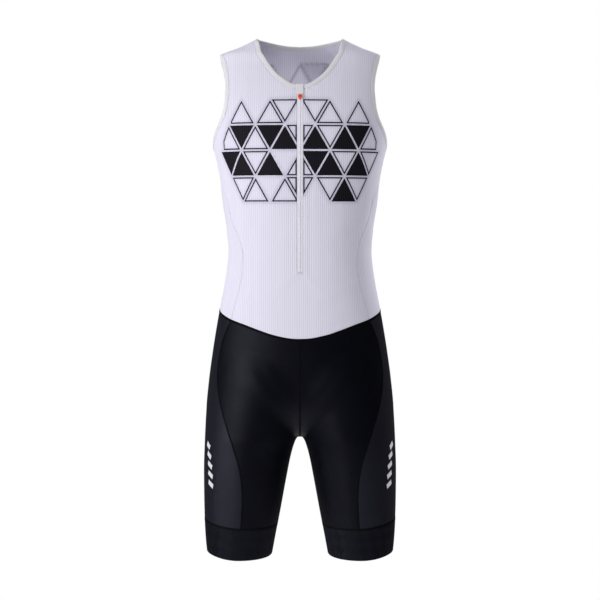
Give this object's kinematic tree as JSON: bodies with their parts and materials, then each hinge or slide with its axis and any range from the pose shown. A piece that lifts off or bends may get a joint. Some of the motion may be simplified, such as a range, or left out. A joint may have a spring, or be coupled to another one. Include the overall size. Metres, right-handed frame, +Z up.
{
  "type": "triathlon suit",
  "caption": "Sleeveless one-piece triathlon suit in the round, empty: white ribbed top with a half zip, black shorts with leg gripper bands.",
  "frame": {"origin": "midway between the two shoulders at shoulder height, where the wearer holds the suit up", "axes": "+X to the wearer's left, -Y is the front with the zip, +Z up"},
  "size_m": [0.3466, 0.2442, 0.9271],
  "materials": {
    "white_rib": "white ribbed stretch knit, matt",
    "white_binding": "off-white elastic binding, matt",
    "black_lycra": "black stretch lycra with a soft sheen",
    "gripper_band": "dark grey woven compression band",
    "zip_tape": "white woven tape",
    "zip_teeth": "white moulded nylon",
    "slider": "orange enamelled zinc",
    "pull_orange": "bright orange enamel"
  },
  "bodies": {
    "suit": {"front": "white_rib", "back": "white_rib", "side_L": "white_rib", "side_R": "white_rib", "zip_garage": "white_rib", "neck_binding": "white_binding", "armhole_binding_L": "white_binding", "armhole_binding_R": "white_binding", "shorts_front_L": "black_lycra", "shorts_front_R": "black_lycra", "shorts_side_L": "black_lycra", "shorts_side_R": "black_lycra", "shorts_back_L": "black_lycra", "shorts_back_R": "black_lycra", "leg_band_L": "gripper_band", "leg_band_R": "gripper_band", "zip_tape_L": "zip_tape", "zip_tape_R": "zip_tape", "zip_chain": "zip_teeth", "zip_slider": "slider"},
    "pull": {"zip_pull": "pull_orange"}
  },
  "joints": [
    {"name": "pull_swing", "type": "hinge", "parent": "suit", "child": "pull", "pos_m": [0, -0.09414, -0.0914], "axis": [-1, 0, 0], "range_deg": [0, 140]}
  ]
}
